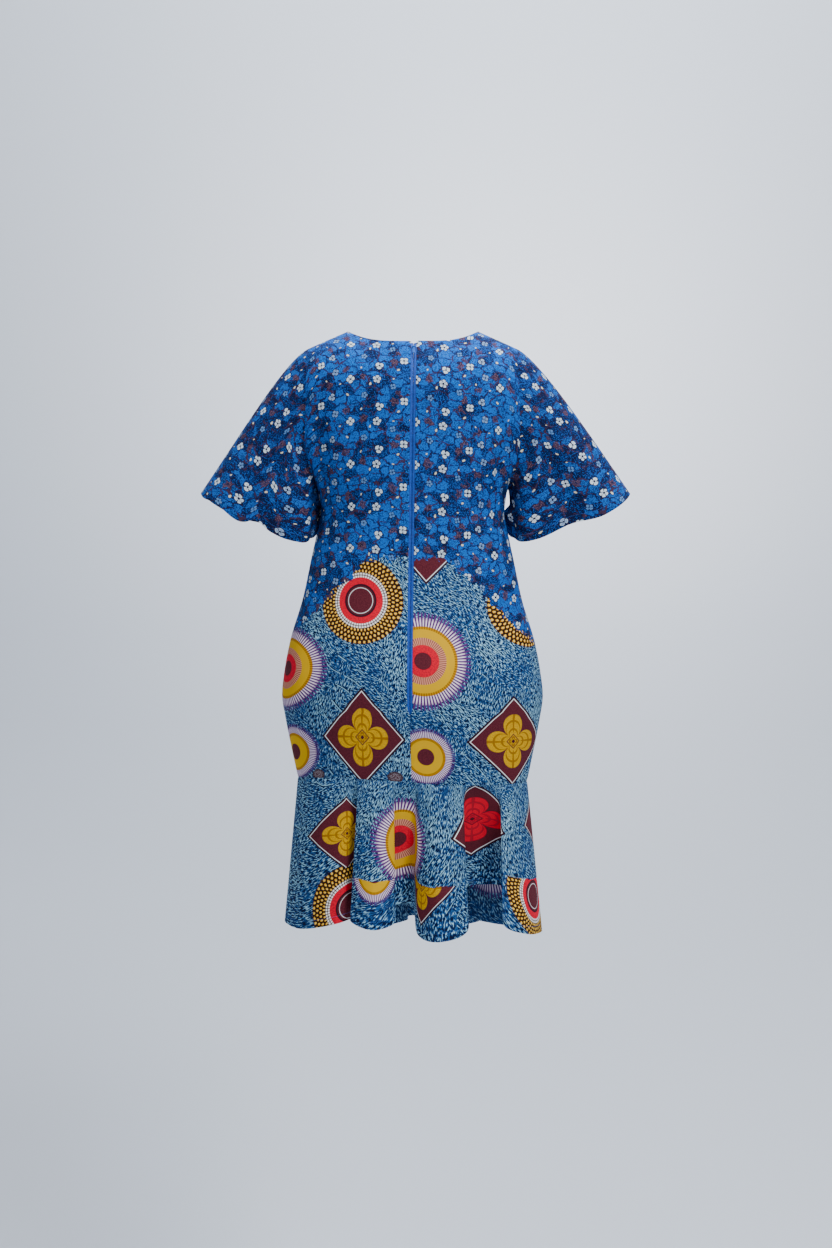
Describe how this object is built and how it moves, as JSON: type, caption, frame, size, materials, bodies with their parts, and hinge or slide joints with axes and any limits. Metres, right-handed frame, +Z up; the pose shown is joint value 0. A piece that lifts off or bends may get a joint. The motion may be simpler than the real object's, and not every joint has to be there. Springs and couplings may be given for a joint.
{
  "type": "ankara wax print dress",
  "caption": "Knee-length wax print dress in its worn form with nobody in it: short flared sleeves, long back zip, cocoon hip and a flared flounce at the hem.",
  "frame": {"origin": "midway between the two shoulders, level with the points where the shoulder seams meet the neckline; the wearer's shoulders hold the dress there", "axes": "+Z up; -Y out of the wearer's back, the side with the zip, which is the side pictured; +Y out of the front; +X to the right in the picture, which is the wearer's right"},
  "size_m": [0.708, 0.3228, 0.9961],
  "materials": {
    "wax_print": "plain-woven printed cotton, matt with a faint waxed sheen",
    "floral_print": "plain-woven printed cotton, matt with a faint waxed sheen",
    "denim_look_print": "plain-woven printed cotton, matt with a faint waxed sheen",
    "zip_tape": "woven polyester tape",
    "zip_metal": "enamelled to match the cloth"
  },
  "bodies": {
    "dress": {"back_left": "wax_print", "back_right": "wax_print", "front": "wax_print", "sleeve_left": "floral_print", "sleeve_right": "floral_print", "flounce_back": "denim_look_print", "flounce_front": "denim_look_print", "zip_tape_left": "zip_tape", "zip_tape_right": "zip_tape", "zip_slider": "zip_metal"},
    "pull": {"zip_pull": "zip_metal"}
  },
  "joints": [
    {"name": "pull_hinge", "type": "hinge", "parent": "dress", "child": "pull", "pos_m": [0.0021, -0.08232, -0.03195], "axis": [-1, 0, 0], "range_deg": [0, 150]}
  ]
}
